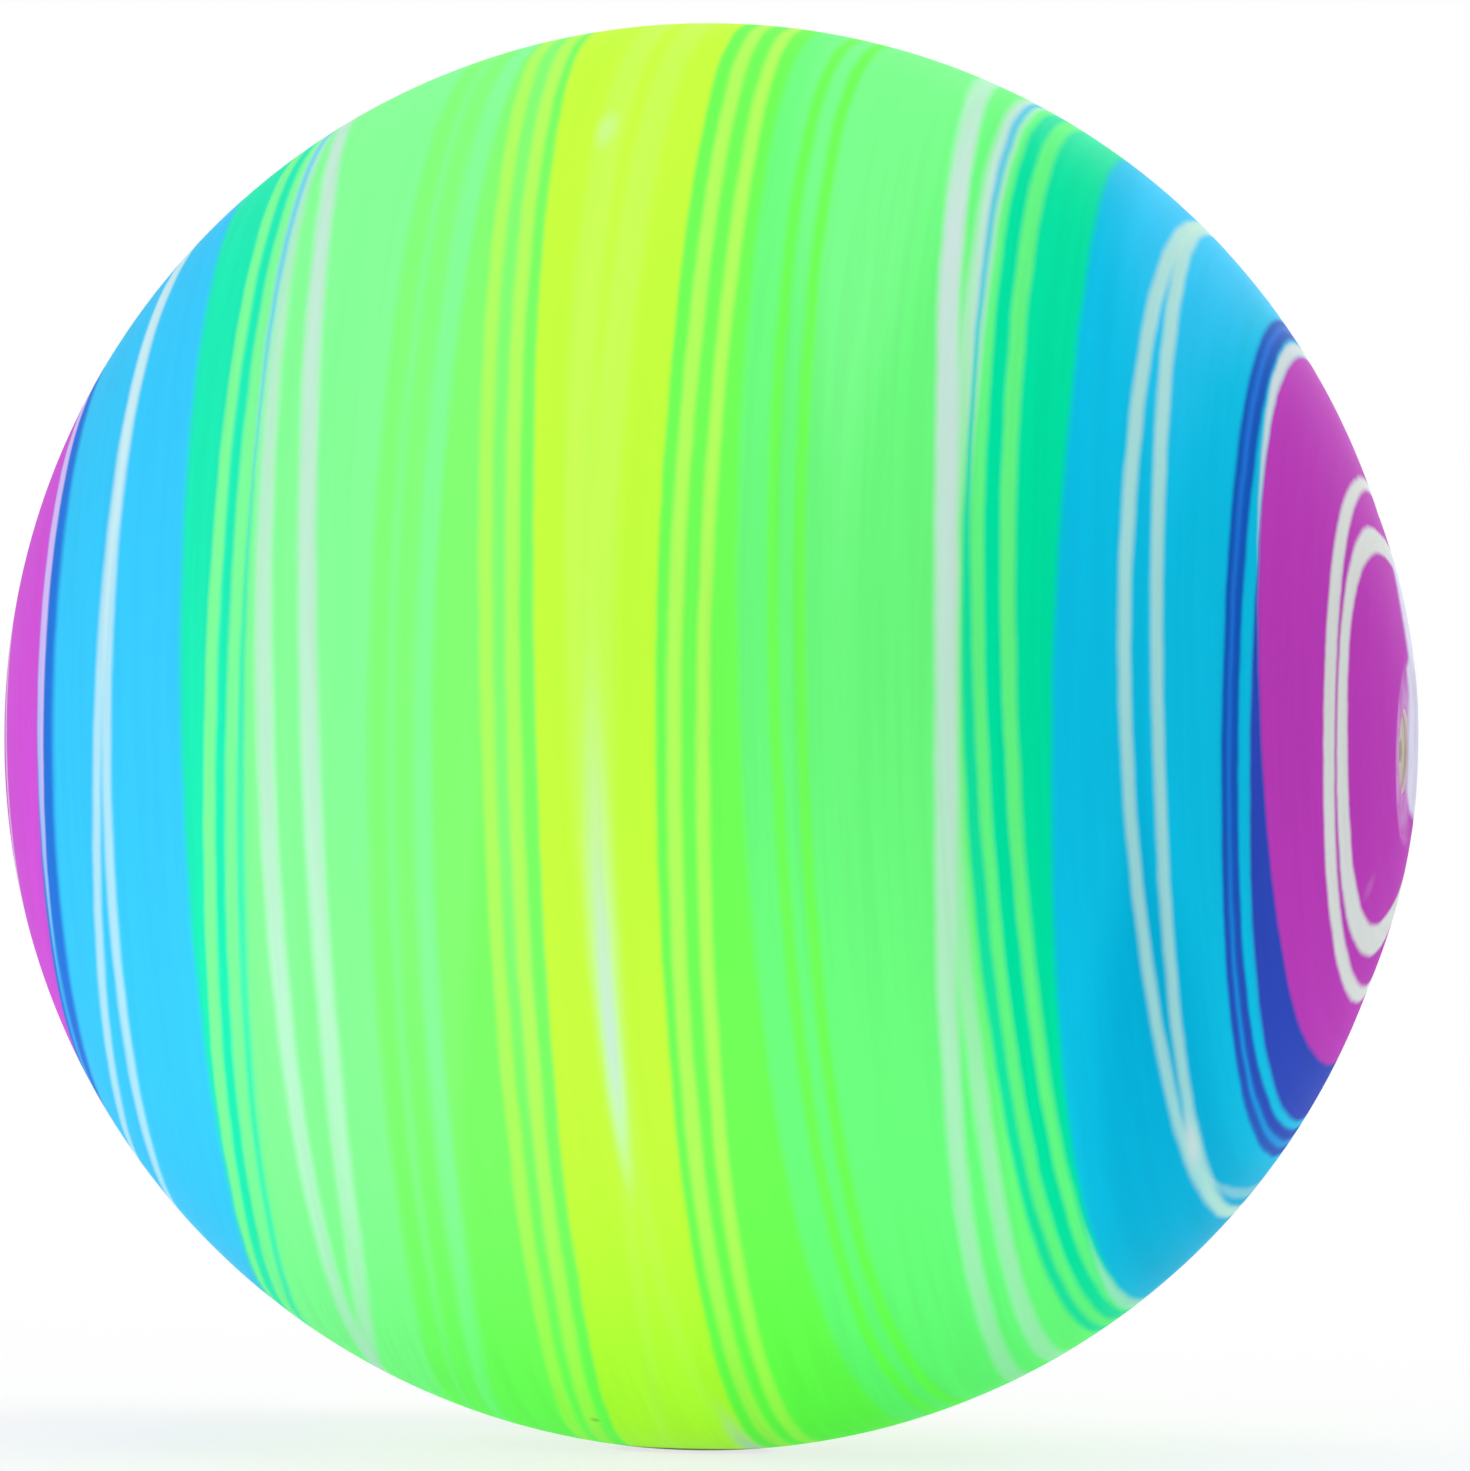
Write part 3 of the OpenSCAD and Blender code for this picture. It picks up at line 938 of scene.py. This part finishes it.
class PLAYBALL_OT_valve_seat(Operator):
    """Model the flanged sleeve that holds the valve core"""

    bl_idname = "playball.valve_seat"
    bl_label = "Valve Seat"

    turn_steps = 96
    rounding = 0.2 * MM

    def execute(self, context):
        sizes = context.scene.playball_sizes
        piece = self.model(sizes)
        paints = context.scene.playball_paint
        piece.data.materials.append(make_bare_vinyl("valve_vinyl", paints, SEAT_VINYL))
        join_frame(piece, "ball", "valve_seat")
        return {'FINISHED'}

    def model(self, sizes):
        """Turn the seat's section: flange, gusset and tapered sleeve."""
        depth = sizes.seat_x - sizes.sleeve_x
        boss_x = sizes.seat_x - sizes.flange
        gusset_depth = sizes.flange + sizes.gusset
        flange_r = sizes.flange_width / 2
        sleeve_r = seat_bore(sizes, depth) + sizes.sleeve_wall
        pen = SectionPen("flanged_seat", sizes.seat_x, seat_bore(sizes, 0))
        pen.trace((
            (sizes.seat_x, flange_r, self.rounding),
            (boss_x, flange_r, self.rounding),
            (boss_x, seat_bore(sizes, sizes.flange) + sizes.sleeve_wall + sizes.gusset, self.rounding),
            (boss_x - sizes.gusset, seat_bore(sizes, gusset_depth) + sizes.sleeve_wall, self.rounding),
            (sizes.sleeve_x, sleeve_r, self.rounding),
            (sizes.sleeve_x, seat_bore(sizes, depth), 0),
            (sizes.seat_x, seat_bore(sizes, 0), 0),
        ))
        return pen.turn(self.turn_steps)


class PLAYBALL_OT_valve_core(Operator):
    """Model the plug with its sealing rings, needle hole and slit"""

    bl_idname = "playball.valve_core"
    bl_label = "Valve Core"

    turn_steps = 96
    rounding = 0.25 * MM
    overrun = 1.0 * MM
    ring_steps = 8

    def execute(self, context):
        sizes = context.scene.playball_sizes
        piece = self.model(sizes)
        self.cut_slit(piece, sizes)
        paints = context.scene.playball_paint
        piece.data.materials.append(make_valve_rubber(paints, sizes))
        join_frame(piece, "core", "valve_core")
        return {'FINISHED'}

    def needle_ends(self, sizes):
        """Outer and inner end of the needle hole's straight wall."""
        needle_x = sizes.face_x - sizes.funnel_depth
        return needle_x, needle_x - sizes.needle_length

    def model(self, sizes):
        """Turn the core's section: needle hole, head, ringed stem and nose."""
        needle_x, slit_x = self.needle_ends(sizes)
        depth = sizes.seat_x - sizes.sleeve_x
        head_r = sizes.head / 2
        pen = SectionPen("ringed_core", slit_x, 0)
        pen.trace((
            (slit_x, sizes.needle / 2, 0),
            (needle_x, sizes.needle / 2, 0),
            (sizes.face_x, sizes.funnel / 2, self.rounding),
            (sizes.face_x, head_r, self.rounding),
            (sizes.seat_x, head_r, self.rounding / 2),
            (sizes.seat_x, stem_radius(sizes, 0), 0),
        ))
        for index in range(sizes.rings):
            self.draw_ring(pen, sizes, depth * (index + 0.5) / sizes.rings)
        pen.trace((
            (sizes.sleeve_x, stem_radius(sizes, depth), 0),
            (sizes.nose_x, sizes.nose / 2, self.rounding),
            (sizes.nose_x, 0, 0),
        ))
        return pen.turn(self.turn_steps)

    def draw_ring(self, pen, sizes, depth):
        """Round ring that stands half out of the stem."""
        centre = Vector((sizes.seat_x - depth, stem_radius(sizes, depth), 0))
        along = (stem_radius(sizes, 0) - stem_radius(sizes, depth)) / depth
        lean = Vector((1, along, 0)).normalized() * sizes.ring
        pen.line(centre + lean)
        pen.arc(centre, -math.pi, self.ring_steps)

    def cut_slit(self, piece, sizes):
        """Cut the slit from the needle hole to the nose."""
        slit_x = self.needle_ends(sizes)[1]
        start = sizes.nose_x - self.overrun
        end = slit_x + self.overrun
        bpy.ops.object.select_all(action='DESELECT')
        bpy.ops.mesh.primitive_cube_add(size=1, location=((start + end) / 2, 0, 0))
        cutter = bpy.context.object
        cutter.scale = (end - start, sizes.slit_gap, sizes.slit)
        bpy.ops.object.transform_apply(location=True, rotation=True, scale=True)
        bpy.ops.object.select_all(action='DESELECT')
        bpy.context.view_layer.objects.active = piece
        piece.select_set(True)
        cut = piece.modifiers.new("Slit", 'BOOLEAN')
        cut.operation = 'DIFFERENCE'
        cut.solver = 'EXACT'
        cut.object = cutter
        bpy.ops.object.modifier_apply(modifier=cut.name)
        bpy.data.objects.remove(cutter)


class PLAYBALL_OT_stage(Operator):
    """Set the pale floor, the soft lamps, the white surroundings and the camera"""

    bl_idname = "playball.stage"
    bl_label = "Stage"

    floor_radius = 15.0
    floor_sides = 96
    floor_colour = (0.9, 0.9, 0.9, 1)
    # Share of the floor's own shade that the camera sees beside the ball
    floor_shade = 0.24
    # Distances from the ball between which the floor turns to plain white
    floor_near = 0.12
    floor_far = 0.6
    ambient = 0.42

    camera_distance = 2.2
    camera_side = math.radians(9.5)
    camera_roll = math.radians(1.2)
    lens = 349.0
    sensor = 36
    # Point of the picture's middle, right of and above the ball's centre
    aim_right = 4.09 * MM
    aim_up = 0.28 * MM

    # Each lamp has a name, a place, the point that it faces, a width and a power in watts.
    # The last one lies on the floor under the ball.
    lamps = (
        ("front_lamp", (-1.1, -1.95, 0.6), (0, 0, 0), 1.4, 16.9),
        ("top_lamp", (0.0, -0.2, 2.3), (0, 0, 0), 1.6, 20.9),
        ("right_lamp", (1.2, 0.4, 1.9), (0, 0, 0), 1.4, 13.8),
        ("back_lamp", (0.6, 2.2, 0.7), (0, 0, 0), 1.4, 12),
        ("floor_lamp", (0.0, -0.2, CAD_BOX[0].z + 0.1 * MM), (0.0, -0.2, 1.0), 0.8, 0.63),
    )

    def execute(self, context):
        scene = context.scene
        scene.view_settings.view_transform = 'Standard'
        self.make_floor()
        self.make_world(scene)
        for name, place, target, width, power in self.lamps:
            self.make_lamp(name, Vector(place), Vector(target), width, power)
        self.make_camera(scene)
        return {'FINISHED'}

    def seen_directly(self, bench):
        """One for rays from the camera, also mirrored or through glass, and zero for soft light."""
        path = bench.add('ShaderNodeLightPath').outputs
        seen = bench.math('MAXIMUM', path["Is Camera Ray"], path["Is Glossy Ray"])
        return bench.math('MAXIMUM', seen, path["Is Transmission Ray"])

    def make_floor(self):
        """Pale floor under the ball, close to white for the camera, with the ball's shadow."""
        bpy.ops.object.select_all(action='DESELECT')
        bpy.ops.mesh.primitive_circle_add(
            vertices=self.floor_sides,
            radius=self.floor_radius,
            fill_type='NGON',
            location=(0, 0, CAD_BOX[0].z),
        )
        floor = bpy.context.object
        floor.name = "floor"
        material, bench, shader = new_material("pale_floor")
        nodes = material.node_tree.nodes
        nodes.remove(shader)
        matt = bench.add('ShaderNodeBsdfDiffuse', {"Color": self.floor_colour})
        white = bench.add('ShaderNodeEmission', {"Color": WHITE, "Strength": 1})
        away = bench.length(bench.spot())
        plain = bench.fade(away, self.floor_near, self.floor_far, 1 - self.floor_shade, 1)
        share = bench.math('MULTIPLY', self.seen_directly(bench), plain)
        mixed = bench.add(
            'ShaderNodeMixShader', {0: share, 1: matt.outputs["BSDF"], 2: white.outputs["Emission"]}
        )
        bench.feed(nodes["Material Output"].inputs["Surface"], mixed.outputs["Shader"])
        floor.data.materials.append(material)

    def make_world(self, scene):
        """White surroundings that light the ball with a soft even light."""
        world = bpy.data.worlds.new("white_surroundings")
        world.use_nodes = True
        bench = NodeBench(world.node_tree)
        background = world.node_tree.nodes["Background"]
        background.inputs["Color"].default_value = WHITE
        seen = self.seen_directly(bench)
        strength = bench.math('MULTIPLY_ADD', seen, 1 - self.ambient, self.ambient)
        bench.feed(background.inputs["Strength"], strength)
        scene.world = world

    def make_lamp(self, name, place, target, width, power):
        """Square soft lamp that the camera doesn't see."""
        bpy.ops.object.light_add(type='AREA', location=place)
        lamp = bpy.context.object
        lamp.name = name
        lamp.rotation_euler = (place - target).to_track_quat('Z', 'Y').to_euler()
        lamp.data.size = width
        lamp.data.energy = power
        lamp.visible_camera = False

    def make_camera(self, scene):
        """Camera at the photograph's viewing angle."""
        out = Vector((math.sin(self.camera_side), -math.cos(self.camera_side), 0))
        right = Vector((math.cos(self.camera_side), math.sin(self.camera_side), 0))
        place = out * self.camera_distance
        target = right * self.aim_right + Vector((0, 0, self.aim_up))
        bpy.ops.object.camera_add(location=place)
        camera = bpy.context.object
        camera.name = "photo_camera"
        turn = (place - target).to_track_quat('Z', 'Y').to_matrix()
        camera.rotation_euler = (turn @ Matrix.Rotation(self.camera_roll, 3, 'Z')).to_euler()
        camera.data.sensor_width = self.sensor
        camera.data.lens = self.lens
        scene.camera = camera


class PLAYBALL_PT_panel(Panel):
    """Sizes, colours and pieces of the play ball"""

    bl_idname = "PLAYBALL_PT_panel"
    bl_label = "Striped Play Ball"
    bl_space_type = 'VIEW_3D'
    bl_region_type = 'UI'
    bl_category = "Play Ball"

    def draw(self, context):
        layout = self.layout
        for operator in OPERATORS:
            layout.operator(operator.bl_idname)
        for group in (context.scene.playball_sizes, context.scene.playball_paint):
            box = layout.box()
            for name in group.__annotations__:
                box.prop(group, name)


OPERATORS = (
    PLAYBALL_OT_stage,
    PLAYBALL_OT_skin,
    PLAYBALL_OT_valve_seat,
    PLAYBALL_OT_valve_core,
)
CLASSES = (PlayBallSizes, PlayBallPaint, *OPERATORS, PLAYBALL_PT_panel)


def register():
    for kind in CLASSES:
        bpy.utils.register_class(kind)
    bpy.types.Scene.playball_sizes = PointerProperty(type=PlayBallSizes)
    bpy.types.Scene.playball_paint = PointerProperty(type=PlayBallPaint)


def unregister():
    del bpy.types.Scene.playball_paint
    del bpy.types.Scene.playball_sizes
    for kind in reversed(CLASSES):
        bpy.utils.unregister_class(kind)


def main():
    register()
    bpy.ops.playball.stage()
    bpy.ops.playball.skin()
    bpy.ops.playball.valve_seat()
    bpy.ops.playball.valve_core()


if __name__ == "__main__":
    main()
